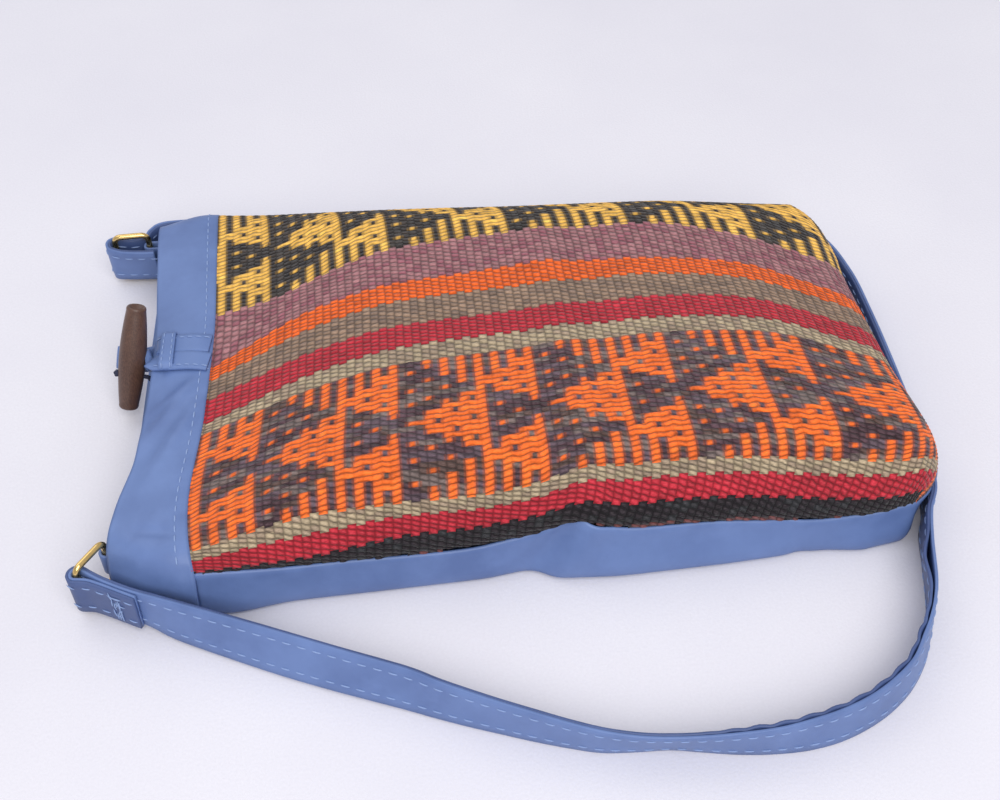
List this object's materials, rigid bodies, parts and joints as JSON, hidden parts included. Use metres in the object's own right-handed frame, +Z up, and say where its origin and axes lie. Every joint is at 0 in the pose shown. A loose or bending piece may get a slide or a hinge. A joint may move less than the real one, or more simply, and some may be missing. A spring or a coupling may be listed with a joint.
{
  "type": "crossbody_bag",
  "caption": "Flat crossbody bag lying on its back: woven kilim front panel, blue leather mouth band, gusset and stitched strap on wire rings, wooden toggle in a loop.",
  "frame": {"origin": "on the floor under the middle of the bag's mouth-to-bottom length, at the width's middle of the bottom half", "axes": "+X from the mouth to the bottom end, +Y to the side with the thicker roll, +Z up through the front panel"},
  "size_m": [0.3402, 0.2846, 0.0471],
  "materials": {
    "kilim_ground": "matte weave",
    "blue_leather": "satin",
    "lining_cloth": "matte",
    "brass_wire": "polished",
    "toggle_wood": "oiled",
    "dark_cord": "matte"
  },
  "bodies": {
    "bag": {"kilim_panel": "kilim_ground", "mouth_band": "blue_leather", "side_gusset": "blue_leather", "rear_panel": "blue_leather", "lining": "lining_cloth", "ring_tab_near": "blue_leather", "ring_tab_far": "blue_leather", "strap": "blue_leather", "toggle_loop": "blue_leather", "loop_keeper": "blue_leather", "toggle_cord": "dark_cord"},
    "ring_near": {"ring_near": "brass_wire"},
    "ring_far": {"ring_far": "brass_wire"},
    "toggle": {"toggle": "toggle_wood"}
  },
  "joints": [
    {"name": "ring_near_hinge", "type": "hinge", "parent": "bag", "child": "ring_near", "pos_m": [-0.15855, -0.0706, 0.0135], "axis": [0, 0, 1], "range_deg": [-55, 25], "deforming": ["strap"]},
    {"name": "ring_far_hinge", "type": "hinge", "parent": "bag", "child": "ring_far", "pos_m": [-0.15855, 0.1015, 0.0135], "axis": [0, 0, 1], "range_deg": [-55, 45], "deforming": ["strap"]},
    {"name": "toggle_slide", "type": "slide", "parent": "bag", "child": "toggle", "axis": [0.2, 0.4342, 0.8783], "range_m": [-0.0035, 0.0035], "deforming": ["toggle_cord"]}
  ]
}
